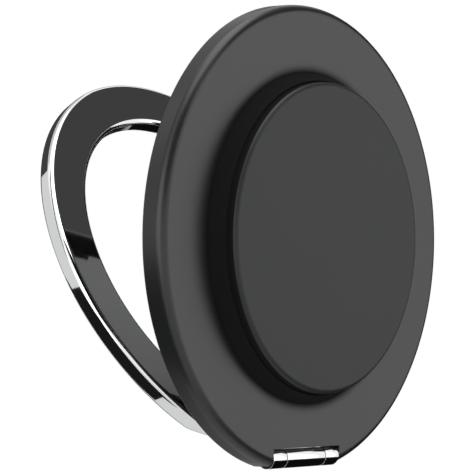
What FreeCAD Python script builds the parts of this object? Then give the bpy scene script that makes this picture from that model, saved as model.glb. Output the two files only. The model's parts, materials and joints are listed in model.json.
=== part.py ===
"""Round phone grip: a flanged disc with a magnetic puck and a hinged chrome ring.

Frame: the origin is the centre of the contact pad's front face, which looks along -Y.
+Z is up, the hinge lies along X at the disc's lower edge, and the ring swings out to +Y.
All sizes are millimetres and degrees.
"""
import FreeCAD, Part
import os
import re
import Sketcher

Vector = FreeCAD.Vector

# Two lengths closer than this count as equal when an edge is looked for.
TOLERANCE = 1e-4

# Driving dimensions: name, value, what it is.
SIZES = [
    ("puck_radius", 20.8, "radius of the puck and its pad"),
    ("puck_height", 3.5, "pad face to disc front"),
    ("puck_wall", 1.0, "front wall of the puck"),
    ("pad_depth", 1.1, "thickness of the contact pad"),
    ("pad_skirt", 0.35, "straight part of the pad's side, behind its rounded edge"),
    ("skirt_reach", 1.3, "how far the soft skirt's foot reaches beyond the puck"),
    ("skirt_drop", 0.3, "back of the pad to the soft skirt's upper edge"),
    ("skirt_lip", 0.15, "thickness of the soft skirt at its two edges"),
    ("film_depth", 0.1, "thickness of the bonding films"),
    ("film_inset", 0.4, "how far the films stop short of an edge"),
    ("flange_brim", 10.45, "how far the disc reaches beyond the puck"),
    ("flange_web", 0.9, "floor of the ring's groove, measured from the disc's front"),
    ("front_round", 1.3, "rounding of the disc's front edge"),
    ("back_round", 0.4, "rounding of the disc's back edge"),
    ("rim_wall", 1.0, "wall of the disc outside the groove"),
    ("rim_land", 0.3, "flat left between the two roundings of the rim's back"),
    ("ring_depth", 2.4, "thickness of the ring"),
    ("ring_front_round", 0.7, "rounding of the ring's front edges"),
    ("ring_back_round", 0.5, "rounding of the ring's back edges"),
    ("ring_gap", 0.5, "gap between the folded ring and the groove's walls"),
    ("ring_lift", 0.15, "gap between the folded ring and the groove's floor"),
    ("ring_sink", 0.05, "how far the folded ring lies below the disc's back"),
    ("open_angle", 30.4, "how far the ring stands open at rest"),
    ("heel_radius", 54.4, "radius of the ring's flattened heel"),
    ("barrel_radius", 1.35, "radius of the hinge knuckles"),
    ("hinge_inset", 1.95, "hinge axis to the disc's lower edge"),
    ("hinge_width", 14.7, "length of the whole hinge barrel"),
    ("knuckle_width", 8.5, "length of the ring's middle knuckle"),
    ("knuckle_gap", 0.15, "gap between two knuckles"),
    ("notch_gap", 0.1, "gap between the barrel's ends and its notch"),
    ("notch_ledge", 0.45, "wall left between the notch and the seat of the bracket's leaf"),
    ("neck_depth", 1.5, "thickness of the ring's neck at the knuckle"),
    ("pin_radius", 0.6, "radius of the hinge pin"),
    ("pin_recess", 0.15, "how far the pin's ends lie inside the barrel"),
    ("pin_clearance", 0.03, "running clearance between the pin and its sleeve"),
    ("sleeve_wall", 0.3, "wall of the friction sleeve"),
    ("sleeve_slit", 0.3, "width of the slit along the friction sleeve"),
    ("leaf_depth", 0.5, "thickness of the bracket's leaf"),
    ("leaf_margin", 0.2, "leaf beyond the screw heads at its inner end"),
    ("leaf_clearance", 0.35, "cut-out of the bracket above its tongues"),
    ("tongue_depth", 0.65, "thickness of the tongues that carry the outer knuckles"),
    ("tongue_overlap", 0.7, "how far the tongues lap over the leaf"),
    ("tongue_clearance", 0.1, "tongues to the ring's heel"),
    ("screw_radius", 0.7, "radius of a bracket screw"),
    ("screw_floor", 1.05, "metal left in front of a bracket screw"),
    ("screw_head_radius", 1.2, "radius of a bracket screw's head"),
    ("screw_head_depth", 0.5, "height of a bracket screw's head"),
    ("screw_head_gap", 0.35, "screw head to the cover's side wall"),
    ("screw_slot", 0.35, "width and depth of a screw's driver slot"),
    ("screw_offset", 4.2, "screw axis to the disc's centre plane"),
    ("thread_clearance", 0.02, "clearance of a screw in its hole"),
    ("cover_overlap", 2.05, "how far the back cover reaches beyond the puck"),
    ("cover_plate", 1.3, "thickness of the back cover's plate"),
    ("cover_wall", 1.65, "thickness of the back cover's side wall"),
    ("cover_round", 0.4, "rounding of the back cover's edge"),
    ("scoop_radius", 9.0, "radius of the fingertip scoop"),
    ("scoop_reach", 4.0, "how far the scoop reaches into the cover"),
    ("scoop_depth", 0.8, "depth of the fingertip scoop"),
    ("magnet_width", 4.3, "magnet, inner edge to outer edge"),
    ("magnet_margin", 0.8, "magnets to the bracket's leaf"),
    ("magnet_gap", 0.5, "space between two magnets"),
    ("magnet_count", 12, "magnets in the ring"),
    ("rib_wall", 1.0, "rib between the magnet channel and the centre pocket"),
    ("yoke_depth", 1.0, "thickness of the steel yoke"),
    ("seat_clearance", 0.1, "clearance round the pieces that drop into a seat"),
]

# Levels along Y, radii about Y and other sizes that follow from the driving ones.
DERIVED = [
    ("pad_round", "pad_depth - pad_skirt", "rounding of the pad's edge"),
    ("puck_front", "pad_depth + film_depth", "front face of the puck"),
    ("channel_floor", "puck_front + puck_wall", "floor of the magnet channel"),
    ("flange_radius", "puck_radius + flange_brim", "outer radius of the disc"),
    ("flange_depth", "flange_web + ring_lift + ring_depth + ring_sink", "thickness of the disc"),
    ("flange_front", "puck_height", "front face of the disc"),
    ("flange_back", "flange_front + flange_depth", "back face of the disc"),
    ("skirt_inner", "puck_radius + seat_clearance", "inner radius of the soft skirt"),
    ("skirt_foot", "puck_radius + skirt_reach", "outer radius of the soft skirt's foot"),
    ("skirt_top", "pad_depth + skirt_drop", "upper edge of the soft skirt"),
    ("groove_floor", "flange_front + flange_web", "floor of the ring's groove"),
    ("groove_outer", "flange_radius - rim_wall", "outer radius of the groove"),
    ("lip_round", "rim_wall - rim_land - back_round", "rounding of the groove's outer mouth"),
    ("ring_outer", "groove_outer - ring_gap", "outer radius of the ring"),
    ("ring_inner", "cover_radius + ring_gap", "inner radius of the ring"),
    ("cover_radius", "puck_radius + cover_overlap", "outer radius of the back cover"),
    ("cover_front", "groove_floor + film_depth", "front of the back cover's side wall"),
    ("cover_inside", "flange_back - cover_plate", "inner face of the back cover's plate"),
    ("yoke_front", "cover_inside - seat_clearance - yoke_depth", "front face of the steel yoke"),
    ("hinge_level", "flange_front + barrel_radius", "hinge axis along Y"),
    ("hinge_drop", "flange_radius - hinge_inset", "disc centre to hinge axis"),
    ("ring_front", "groove_floor + ring_lift - hinge_level", "folded ring's front face from the axis"),
    ("bore_radius", "pin_radius + pin_clearance + sleeve_wall", "bore of the middle knuckle"),
    ("outer_knuckle", "(hinge_width - knuckle_width) / 2 - knuckle_gap", "length of an outer knuckle"),
    ("notch_top", "hinge_drop - barrel_radius", "disc centre to the notch's upper edge"),
    ("notch_width", "hinge_width + 2 * notch_gap", "width of the hinge notch"),
    ("screw_circle", "cover_radius - cover_wall - screw_head_gap - screw_head_radius",
     "disc centre to a screw axis"),
    ("screw_drop", "sqrt(screw_circle ^ 2 - screw_offset ^ 2)", "screw axis below the disc's centre"),
    ("screw_length", "groove_floor - puck_front - screw_floor", "length of a screw under its head"),
    ("screw_hole_end", "groove_floor - screw_length - seat_clearance", "bottom of a screw hole"),
    ("leaf_front", "groove_floor - leaf_depth", "front face of the bracket's leaf"),
    ("leaf_end", "screw_drop - screw_head_radius - leaf_margin", "disc centre to the leaf's inner end"),
    ("leaf_foot", "barrel_radius + notch_ledge + seat_clearance", "hinge axis to the leaf's outer end"),
    ("tongue_reach", "leaf_foot + tongue_overlap", "hinge axis to the upper end of the tongues"),
    ("heel_reach", "tongue_reach + tongue_clearance", "hinge axis to the ring's flattened heel"),
    ("magnet_outer", "leaf_end - magnet_margin", "outer radius of the magnet ring"),
    ("magnet_inner", "magnet_outer - magnet_width", "inner radius of the magnet ring"),
]

doc = FreeCAD.newDocument("phone_grip_stand")
sheet = doc.addObject("Spreadsheet::Sheet", "Sizes")


def fill_sheet():
    """Write the driving sizes as numbers and the derived ones as formulas, each with an alias."""
    for row, (name, value, meaning) in enumerate(SIZES + DERIVED, start=1):
        sheet.set(f"A{row}", meaning)
        sheet.set(f"B{row}", f"={value}" if isinstance(value, str) else str(value))
        sheet.setAlias(f"B{row}", name)
    doc.recompute()


def cell(formula):
    """The formula with each size's name turned into a reference to its cell."""
    names = {name for name, _, _ in SIZES + DERIVED}
    return re.sub("[a-z_]+", lambda word: f"Sizes.{word[0]}" if word[0] in names else word[0], formula)


def number(formula):
    """The formula's present value."""
    return float(sheet.evalExpression(cell(formula)))


def new_body(label):
    """An empty body with the sub-part's own name."""
    body = doc.addObject("PartDesign::Body", label)
    body.Label = label
    return body


def new_sketch(body, plane, level=None):
    """A sketch on one of the body's own origin planes, moved along its normal to level."""
    sketch = body.newObject("Sketcher::SketchObject", "Sketch")
    support = next(item for item in body.Origin.OriginFeatures if item.Role == plane)
    sketch.AttachmentSupport = (support, [""])
    sketch.MapMode = "FlatFace"
    if level is not None:
        sketch.setExpression("AttachmentOffset.Base.z", cell(level))
    return sketch


def constrain(sketch, kind, *where, formula):
    """A dimension bound to a formula of the sheet."""
    index = sketch.addConstraint(Sketcher.Constraint(kind, *where, number(formula)))
    sketch.setExpression(f"Constraints[{index}]", cell(formula))


def pin_point(sketch, curve, point, across, up):
    """Tie a point of a curve to the sketch's origin by two formulas; "0" puts it on the axis."""
    for kind, axis, formula in (("DistanceX", -2, across), ("DistanceY", -1, up)):
        if formula == "0":
            sketch.addConstraint(Sketcher.Constraint("PointOnObject", curve, point, axis))
        else:
            constrain(sketch, kind, -1, 1, curve, point, formula=formula)


def draw_outline(sketch, corners):
    """A closed outline of straight lines through corners given as pairs of formulas."""
    first = sketch.GeometryCount
    places = [Vector(number(across), number(up), 0) for across, up in corners]
    count = len(places)
    for index in range(count):
        sketch.addGeometry(Part.LineSegment(places[index], places[(index + 1) % count]))
    for index in range(count):
        following = first + (index + 1) % count
        sketch.addConstraint(Sketcher.Constraint("Coincident", first + index, 2, following, 1))
    for index, (across, up) in enumerate(corners):
        pin_point(sketch, first + index, 1, across, up)


def draw_circle(sketch, across, up, radius):
    """A circle with its centre and radius given as formulas."""
    centre = Vector(number(across), number(up), 0)
    curve = sketch.addGeometry(Part.Circle(centre, Vector(0, 0, 1), number(radius)))
    pin_point(sketch, curve, 3, across, up)
    constrain(sketch, "Radius", curve, formula=radius)


def turn(body, corners):
    """Turn an outline of (radius, y) formulas about the Y axis into a solid."""
    sketch = new_sketch(body, "XY_Plane")
    draw_outline(sketch, corners)
    feature = body.newObject("PartDesign::Revolution", "Turned")
    feature.Profile = sketch
    feature.ReferenceAxis = (sketch, ["V_Axis"])
    feature.Angle = 360
    doc.recompute()
    return feature


def extrude(body, kind, sketch, length, symmetric=True, reverse=False):
    """Pad or pocket a sketch by a formula, both ways or one way."""
    feature = body.newObject(f"PartDesign::{kind}", kind)
    feature.Profile = sketch
    feature.SideType = "Symmetric" if symmetric else "One side"
    feature.Reversed = reverse
    feature.setExpression("Length", cell(length))
    doc.recompute()
    return feature


def round_edges(body, radius, wanted):
    """Fillet each edge of the body that wanted(edge) picks, with a radius from the sheet."""
    base = body.Tip
    names = [f"Edge{n}" for n, edge in enumerate(base.Shape.Edges, start=1) if wanted(edge)]
    feature = body.newObject("PartDesign::Fillet", "Round")
    feature.Base = (base, names)
    feature.setExpression("Radius", cell(radius))
    doc.recompute()
    return feature


def circle_at(radius, level):
    """A test for the round edges about Y of a given radius and level."""
    def test(edge):
        if not isinstance(edge.Curve, Part.Circle):
            return False
        near = abs(edge.Curve.Radius - number(radius)) < TOLERANCE
        return near and abs(edge.Curve.Center.y - number(level)) < TOLERANCE
    return test


def level_with(level):
    """A test for the edges that lie wholly at one level along Y."""
    def test(edge):
        box = edge.BoundBox
        return abs(box.YMin - number(level)) < TOLERANCE and abs(box.YMax - number(level)) < TOLERANCE
    return test


def make_front_housing():
    """The disc and its puck: one casting, open at the back."""
    body = new_body("front_housing")
    turn(body, [
        ("0", "puck_front"),
        ("puck_radius", "puck_front"),
        ("puck_radius", "flange_front"),
        ("flange_radius", "flange_front"),
        ("flange_radius", "flange_back"),
        ("groove_outer", "flange_back"),
        ("groove_outer", "groove_floor"),
        ("magnet_outer + seat_clearance", "groove_floor"),
        ("magnet_outer + seat_clearance", "channel_floor"),
        ("magnet_inner - seat_clearance", "channel_floor"),
        ("magnet_inner - seat_clearance", "groove_floor"),
        ("magnet_inner - seat_clearance - rib_wall", "groove_floor"),
        ("magnet_inner - seat_clearance - rib_wall", "channel_floor"),
        ("0", "channel_floor"),
    ])
    round_edges(body, "front_round", circle_at("flange_radius", "flange_front"))
    round_edges(body, "back_round", circle_at("flange_radius", "flange_back"))
    round_edges(body, "lip_round", circle_at("groove_outer", "flange_back"))

    notch = new_sketch(body, "YZ_Plane")
    draw_outline(notch, [
        ("0", "-notch_top"),
        ("0", "-2 * flange_radius"),
        ("2 * flange_back", "-2 * flange_radius"),
        ("2 * flange_back", "-notch_top"),
    ])
    extrude(body, "Pocket", notch, "notch_width")

    leaf_seat = new_sketch(body, "YZ_Plane")
    draw_outline(leaf_seat, [
        ("leaf_front", "-(leaf_end - seat_clearance)"),
        ("leaf_front", "-(notch_top - notch_ledge)"),
        ("flange_back", "-(notch_top - notch_ledge)"),
        ("flange_back", "-(leaf_end - seat_clearance)"),
    ])
    extrude(body, "Pocket", leaf_seat, "notch_width")

    for side in ("", "-"):
        hole = new_sketch(body, "XZ_Plane", "-screw_hole_end")
        draw_circle(hole, f"{side}screw_offset", "-screw_drop", "screw_radius + thread_clearance")
        extrude(body, "Pocket", hole, "flange_depth", symmetric=False)
    return body


def make_disc(label, outline, rounding=None):
    """A turned piece, with one of its round edges filleted where rounding gives the three formulas."""
    body = new_body(label)
    turn(body, outline)
    if rounding:
        radius, where, level = rounding
        round_edges(body, radius, circle_at(where, level))
    return body


def plain_disc(radius, front, back):
    """The outline of a flat disc."""
    return [("0", front), (radius, front), (radius, back), ("0", back)]


def plain_ring(inner, outer, front, back):
    """The outline of a flat ring."""
    return [(inner, front), (outer, front), (outer, back), (inner, back)]


def make_back_cover():
    """The round cover: a plate with a side wall, and a scoop at the top for a fingertip."""
    body = make_disc("back_cover", [
        ("0", "cover_inside"),
        ("cover_radius - cover_wall", "cover_inside"),
        ("cover_radius - cover_wall", "cover_front"),
        ("cover_radius", "cover_front"),
        ("cover_radius", "flange_back"),
        ("0", "flange_back"),
    ], ("cover_round", "cover_radius", "flange_back"))
    scoop = new_sketch(body, "XZ_Plane", "scoop_depth - flange_back")
    draw_circle(scoop, "0", "cover_radius + scoop_radius - scoop_reach", "scoop_radius")
    extrude(body, "Pocket", scoop, "flange_depth", symmetric=False)
    return body


def make_magnet(index):
    """One arc magnet of the ring, turned to its own place about Y."""
    body = new_body(f"magnet_{index + 1:02d}")
    sketch = new_sketch(body, "XY_Plane")
    draw_outline(sketch, plain_ring("magnet_inner", "magnet_outer", "channel_floor", "yoke_front"))
    feature = body.newObject("PartDesign::Revolution", "Turned")
    feature.Profile = sketch
    feature.ReferenceAxis = (sketch, ["V_Axis"])
    feature.setExpression("Angle", cell("360 / magnet_count - magnet_gap / magnet_inner * 180 / pi"))
    body.Placement = FreeCAD.Placement(Vector(0, 0, 0), FreeCAD.Rotation(Vector(0, 1, 0), 1))
    body.setExpression("Placement.Rotation.Angle", cell(f"{index} * 360 / magnet_count"))
    doc.recompute()
    return body


def place_on_hinge(body, angle=None):
    """Put a body drawn about the hinge axis on that axis, swung open by the angle."""
    body.Placement = FreeCAD.Placement(Vector(0, 0, 0), FreeCAD.Rotation(Vector(-1, 0, 0), 1))
    body.setExpression("Placement.Base.y", cell("hinge_level"))
    body.setExpression("Placement.Base.z", cell("-hinge_drop"))
    body.setExpression("Placement.Rotation.Angle", cell(angle or "0"))
    doc.recompute()


def make_stand_ring():
    """The ring, its neck and its middle knuckle, drawn folded about the hinge axis."""
    body = new_body("stand_ring")
    plate = new_sketch(body, "XZ_Plane", "-ring_front")
    draw_heeled_disc(plate)
    draw_circle(plate, "0", "hinge_drop", "ring_inner")
    extrude(body, "Pad", plate, "ring_depth", symmetric=False, reverse=True)
    round_edges(body, "ring_front_round", level_with("ring_front"))
    round_edges(body, "ring_back_round", level_with("ring_front + ring_depth"))

    neck = new_sketch(body, "YZ_Plane")
    draw_outline(neck, [
        ("ring_front", "0"),
        ("ring_front + neck_depth", "0"),
        ("ring_front + neck_depth", "heel_reach + ring_front_round"),
        ("ring_front", "heel_reach + ring_front_round"),
    ])
    extrude(body, "Pad", neck, "knuckle_width")

    barrel = new_sketch(body, "YZ_Plane")
    draw_circle(barrel, "0", "0", "barrel_radius")
    extrude(body, "Pad", barrel, "knuckle_width")

    bore = new_sketch(body, "YZ_Plane")
    draw_circle(bore, "0", "0", "bore_radius")
    extrude(body, "Pocket", bore, "hinge_width")
    place_on_hinge(body, "open_angle")
    return body


def draw_heeled_disc(sketch):
    """The ring's outer edge: its circle, flattened near the hinge by an arc of larger radius."""
    centre = Vector(0, number("hinge_drop"), 0)
    heel_centre = Vector(0, number("heel_reach + heel_radius"), 0)
    rim = Part.Circle(centre, Vector(0, 0, 1), number("ring_outer"))
    heel = Part.Circle(heel_centre, Vector(0, 0, 1), number("heel_radius"))
    meetings = sorted((Vector(point.X, point.Y, 0) for point in rim.intersect(heel)), key=lambda p: p.x)
    left, right = meetings
    rim_arc = sketch.addGeometry(Part.ArcOfCircle(rim, rim.parameter(right), rim.parameter(left)))
    heel_arc = sketch.addGeometry(Part.ArcOfCircle(heel, heel.parameter(left), heel.parameter(right)))
    for curve, up, radius in (
        (rim_arc, "hinge_drop", "ring_outer"),
        (heel_arc, "heel_reach + heel_radius", "heel_radius"),
    ):
        pin_point(sketch, curve, 3, "0", up)
        constrain(sketch, "Radius", curve, formula=radius)
    sketch.addConstraint(Sketcher.Constraint("Coincident", rim_arc, 2, heel_arc, 1))
    sketch.addConstraint(Sketcher.Constraint("Coincident", heel_arc, 2, rim_arc, 1))


def make_hinge_bracket():
    """The joggled leaf on the housing and the two outer knuckles, drawn about the hinge axis."""
    body = new_body("hinge_bracket")
    leaf = new_sketch(body, "YZ_Plane")
    leaf_front = "leaf_front - hinge_level"
    leaf_back = "groove_floor - hinge_level"
    tongue_back = "groove_floor + tongue_depth - hinge_level"
    leaf_top = "hinge_drop - leaf_end"
    draw_outline(leaf, [
        (leaf_front, "leaf_foot"),
        (leaf_back, "leaf_foot"),
        (leaf_back, "0"),
        (tongue_back, "0"),
        (tongue_back, "tongue_reach"),
        (leaf_back, "tongue_reach"),
        (leaf_back, leaf_top),
        (leaf_front, leaf_top),
    ])
    extrude(body, "Pad", leaf, "hinge_width")

    barrel = new_sketch(body, "YZ_Plane")
    draw_circle(barrel, "0", "0", "barrel_radius")
    extrude(body, "Pad", barrel, "hinge_width")

    gap = new_sketch(body, "YZ_Plane")
    draw_outline(gap, [
        ("-2 * barrel_radius", "-2 * barrel_radius"),
        ("2 * barrel_radius", "-2 * barrel_radius"),
        ("2 * barrel_radius", "tongue_reach + leaf_clearance"),
        ("-2 * barrel_radius", "tongue_reach + leaf_clearance"),
    ])
    extrude(body, "Pocket", gap, "hinge_width - 2 * outer_knuckle")

    bore = new_sketch(body, "YZ_Plane")
    draw_circle(bore, "0", "0", "pin_radius")
    extrude(body, "Pocket", bore, "hinge_width")

    for side in ("", "-"):
        hole = new_sketch(body, "XZ_Plane", "hinge_level - leaf_front")
        draw_circle(hole, f"{side}screw_offset", "hinge_drop - screw_drop", "screw_radius + seat_clearance")
        extrude(body, "Pocket", hole, "leaf_depth", symmetric=False)
    place_on_hinge(body)
    return body


def make_hinge_pin():
    """The plain steel pin on the hinge axis."""
    body = new_body("hinge_pin")
    section = new_sketch(body, "YZ_Plane")
    draw_circle(section, "0", "0", "pin_radius")
    extrude(body, "Pad", section, "hinge_width - 2 * pin_recess")
    place_on_hinge(body)
    return body


def make_friction_sleeve():
    """The split sleeve that lines the ring's knuckle and grips the pin."""
    body = new_body("friction_sleeve")
    section = new_sketch(body, "YZ_Plane")
    draw_circle(section, "0", "0", "bore_radius")
    draw_circle(section, "0", "0", "pin_radius + pin_clearance")
    extrude(body, "Pad", section, "knuckle_width")
    slit = new_sketch(body, "YZ_Plane")
    draw_outline(slit, [
        ("0", "-sleeve_slit / 2"),
        ("2 * bore_radius", "-sleeve_slit / 2"),
        ("2 * bore_radius", "sleeve_slit / 2"),
        ("0", "sleeve_slit / 2"),
    ])
    extrude(body, "Pocket", slit, "hinge_width")
    place_on_hinge(body, "open_angle")
    return body


def make_screw(label, side):
    """One pan-head bracket screw with a driver slot, its axis along Y."""
    body = new_body(label)
    turn(body, [
        ("0", "groove_floor - screw_length"),
        ("screw_radius", "groove_floor - screw_length"),
        ("screw_radius", "groove_floor"),
        ("screw_head_radius", "groove_floor"),
        ("screw_head_radius", "groove_floor + screw_head_depth"),
        ("0", "groove_floor + screw_head_depth"),
    ])
    slot = new_sketch(body, "YZ_Plane")
    draw_outline(slot, [
        ("groove_floor + screw_head_depth - screw_slot", "-screw_slot / 2"),
        ("groove_floor + 2 * screw_head_depth", "-screw_slot / 2"),
        ("groove_floor + 2 * screw_head_depth", "screw_slot / 2"),
        ("groove_floor + screw_head_depth - screw_slot", "screw_slot / 2"),
    ])
    extrude(body, "Pocket", slot, "3 * screw_head_radius")
    body.setExpression("Placement.Base.x", cell(f"{side}screw_offset"))
    body.setExpression("Placement.Base.z", cell("-screw_drop"))
    doc.recompute()
    return body


def make_bracket_screws():
    """Both bracket screws as one group of two separate solids."""
    group = doc.addObject("Part::Compound", "bracket_screws")
    group.Label = "bracket_screws"
    group.Links = [make_screw("screw_right", ""), make_screw("screw_left", "-")]
    doc.recompute()
    return group


def make_sub_parts():
    """Every sub-part of the grip, in the order of its assembly from the phone's side back."""
    pieces = [
        make_disc("contact_pad", plain_disc("puck_radius", "0", "pad_depth"),
                  ("pad_round", "puck_radius", "0")),
        make_disc("pad_adhesive", plain_disc("puck_radius - film_inset", "pad_depth", "puck_front")),
        make_front_housing(),
        make_disc("foot_skirt", [
            ("skirt_inner", "skirt_top"),
            ("skirt_inner + skirt_lip", "skirt_top"),
            ("skirt_foot", "flange_front - skirt_lip"),
            ("skirt_foot", "flange_front"),
            ("skirt_inner", "flange_front"),
        ]),
    ]
    pieces += [make_magnet(index) for index in range(int(number("magnet_count")))]
    pieces += [
        make_disc("steel_yoke", plain_ring("magnet_inner", "magnet_outer", "yoke_front",
                                           "yoke_front + yoke_depth")),
        make_hinge_bracket(),
        make_bracket_screws(),
        make_disc("cover_adhesive", plain_ring("cover_radius - cover_wall", "cover_radius - film_inset",
                                               "groove_floor", "cover_front")),
        make_back_cover(),
        make_hinge_pin(),
        make_friction_sleeve(),
        make_stand_ring(),
    ]
    return pieces


def check(pieces):
    """Stop if any object failed or any sub-part has no valid shape."""
    for item in doc.Objects:
        if "Invalid" in item.State or "Error" in item.State:
            raise RuntimeError(f"{item.Label} failed: {item.State}")
    for piece in pieces:
        if piece.Shape.isNull() or not piece.Shape.isValid() or not piece.Shape.Solids:
            raise RuntimeError(f"{piece.Label} has no valid solid")


def write(pieces):
    """One STEP file for each sub-part, named by its label."""
    os.makedirs("parts", exist_ok=True)
    for piece in pieces:
        piece.Shape.exportStep(os.path.join("parts", f"{piece.Label}.step"))
        print(f"{piece.Label}: {piece.Shape.Volume:.2f} cubic mm, {len(piece.Shape.Solids)} solid(s)")


fill_sheet()
sub_parts = make_sub_parts()
check(sub_parts)
write(sub_parts)
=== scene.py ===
"""The looks of a round phone grip: a dark satin disc, a soft pad and a chrome ring that swings out.

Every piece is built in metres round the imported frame, which gives the main sizes and all the places.
The disc's axis lies along Y with the pad in front, towards -Y, and the hinge lies along X at the bottom.
"""

import json
import logging
import math
from collections.abc import Sequence
from dataclasses import dataclass, replace
from enum import Enum
from functools import cache
from typing import Any

import bmesh
import bpy
from bmesh.types import BMEdge, BMesh, BMFace, BMVert
from bpy.types import Material, Node, NodeSocket, NodeTree, Object
from mathutils import Matrix, Quaternion, Vector

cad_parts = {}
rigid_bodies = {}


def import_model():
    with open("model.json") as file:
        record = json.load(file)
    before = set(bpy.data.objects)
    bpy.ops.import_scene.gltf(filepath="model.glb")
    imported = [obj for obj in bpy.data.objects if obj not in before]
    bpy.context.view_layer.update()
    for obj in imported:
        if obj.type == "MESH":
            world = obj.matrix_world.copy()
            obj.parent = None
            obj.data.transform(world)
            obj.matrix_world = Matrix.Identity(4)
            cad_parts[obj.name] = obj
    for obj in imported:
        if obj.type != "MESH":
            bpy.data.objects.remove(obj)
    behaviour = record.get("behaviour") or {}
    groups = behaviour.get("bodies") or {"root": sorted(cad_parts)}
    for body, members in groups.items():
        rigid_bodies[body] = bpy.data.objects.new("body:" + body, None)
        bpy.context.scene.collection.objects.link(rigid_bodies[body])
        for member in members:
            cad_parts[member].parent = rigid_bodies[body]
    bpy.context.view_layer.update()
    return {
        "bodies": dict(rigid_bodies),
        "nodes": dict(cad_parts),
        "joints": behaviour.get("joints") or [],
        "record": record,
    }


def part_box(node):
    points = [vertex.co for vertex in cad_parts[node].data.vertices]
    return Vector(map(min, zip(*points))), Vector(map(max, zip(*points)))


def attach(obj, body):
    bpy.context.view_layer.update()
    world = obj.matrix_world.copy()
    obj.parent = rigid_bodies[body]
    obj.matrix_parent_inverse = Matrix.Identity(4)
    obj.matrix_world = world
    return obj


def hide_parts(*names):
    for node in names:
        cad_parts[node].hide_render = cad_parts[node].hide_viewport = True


LOG = logging.getLogger("phone_grip")

MM = 0.001
# Two lengths closer than this count as equal when vertices are merged or edges are looked for.
NEAR = 0.002 * MM
# Steps of a full turn, of a rod and of a rounded edge.
TURN_STEPS = 256
ROD_STEPS = 128
ROUND_STEPS = 8
# Edges that bend more than this stay crisp in the shading.
CRISP_ANGLE = math.radians(32)
# How far a cutting body passes through what it cuts.
THROUGH = 5 * MM
# Thickness of the hinge bracket's leaf, which lies in a seat of the housing.
LEAF_DEPTH = 0.5 * MM
# Rounding of the hinge knuckles' end edges.
BREAK_EDGE = 0.04 * MM
# How many finer layers each noise pattern adds to its own.
CLOUD_DETAIL = 4.0
GRAIN_DETAIL = 2.0
STREAK_DETAIL = 3.0
# The gloss of a whole surface, as the shader has it by itself.
WHOLE_GLOSS = 0.5


class Body(Enum):
    """The two bodies that the pieces ride on."""

    GRIP = "grip_body"
    RING = "ring"


class Slot(Enum):
    """The record's material slots for the pieces that are rebuilt here."""

    COAT = "grey_coat"
    RUBBER = "pad_rubber"
    SKIRT = "skirt_rubber"
    CHROME = "bright_chrome"


class Joining(Enum):
    """How one body is combined with another."""

    CUT = "DIFFERENCE"
    WELD = "UNION"


# Mesh helpers


def turned(outline: Sequence[tuple[float, float]]) -> BMesh:
    """Turn an outline about Y, with its two ends on the axis or at the same corner.

    Args:
        outline: Corners as pairs of radius and place along Y.

    Returns:
        A closed body of revolution with its faces outwards.
    """
    bm = bmesh.new()
    corners = [bm.verts.new((radius, along, 0)) for radius, along in outline]
    for start, end in zip(corners, corners[1:]):
        bm.edges.new((start, end))
    bmesh.ops.spin(
        bm, geom=[*bm.verts, *bm.edges], cent=(0, 0, 0), axis=(0, 1, 0),
        angle=math.tau, steps=TURN_STEPS, use_merge=True,
    )
    bmesh.ops.remove_doubles(bm, verts=bm.verts, dist=NEAR)
    bmesh.ops.recalc_face_normals(bm, faces=bm.faces)
    return bm


def circle_edges(bm: BMesh, radius: float, level: float) -> list[BMEdge]:
    """Find the edges of one circle about Y.

    Args:
        bm: The body of revolution.
        radius: The circle's radius.
        level: The circle's place along Y.

    Returns:
        The circle's edges.
    """
    def is_on(place: Vector) -> bool:
        """Whether a vertex lies on the circle."""
        return abs(math.hypot(place.x, place.z) - radius) < NEAR and abs(place.y - level) < NEAR

    return [edge for edge in bm.edges if all(is_on(vert.co) for vert in edge.verts)]


def round_off(bm: BMesh, edges: Sequence[BMEdge], radius: float) -> None:
    """Round edges with an arc.

    Args:
        bm: The body.
        edges: The edges to round.
        radius: The arc's radius at a right-angled edge.
    """
    bmesh.ops.bevel(
        bm, geom=list(edges), offset=radius, offset_type="OFFSET", segments=ROUND_STEPS,
        profile=0.5, affect="EDGES", material=-1, clamp_overlap=False,
    )


def block(low: Sequence[float], high: Sequence[float]) -> BMesh:
    """Make a straight block between two corners.

    Args:
        low: Its lowest corner.
        high: Its highest corner.

    Returns:
        The block.
    """
    bm = bmesh.new()
    size = Vector(high) - Vector(low)
    middle = (Vector(high) + Vector(low)) / 2
    bmesh.ops.create_cube(bm, size=1, matrix=Matrix.Translation(middle) @ Matrix.Diagonal((*size, 1)))
    return bm


def rod(radius: float, start: Vector, end: Vector) -> BMesh:
    """Make a round rod between two points.

    Args:
        radius: The rod's radius.
        start: Centre of its first end.
        end: Centre of its other end.

    Returns:
        The rod, with closed ends.
    """
    bm = bmesh.new()
    turn = (end - start).to_track_quat("Z", "Y").to_matrix().to_4x4()
    bmesh.ops.create_cone(
        bm, cap_ends=True, segments=ROD_STEPS, radius1=radius, radius2=radius,
        depth=(end - start).length, matrix=Matrix.Translation((start + end) / 2) @ turn,
    )
    return bm


def extrude(bm: BMesh, sheet: Sequence[BMFace], path: Sequence[float]) -> None:
    """Extrude a flat sheet into a body with its faces outwards.

    Args:
        bm: The bmesh that holds nothing but the sheet.
        sheet: The sheet's faces.
        path: How far the sheet is extruded along each axis.
    """
    grown = bmesh.ops.extrude_face_region(bm, geom=list(sheet))["geom"]
    bmesh.ops.translate(bm, vec=path, verts=[item for item in grown if isinstance(item, BMVert)])
    bmesh.ops.recalc_face_normals(bm, faces=bm.faces)


def as_object(name: str, bm: BMesh) -> Object:
    """Put a bmesh into the scene as an object at the origin.

    Args:
        name: The object's name.
        bm: Its shape, which is freed.

    Returns:
        The new object.
    """
    mesh = bpy.data.meshes.new(name)
    bm.to_mesh(mesh)
    bm.free()
    piece = bpy.data.objects.new(name, mesh)
    bpy.context.scene.collection.objects.link(piece)
    return piece


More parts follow.
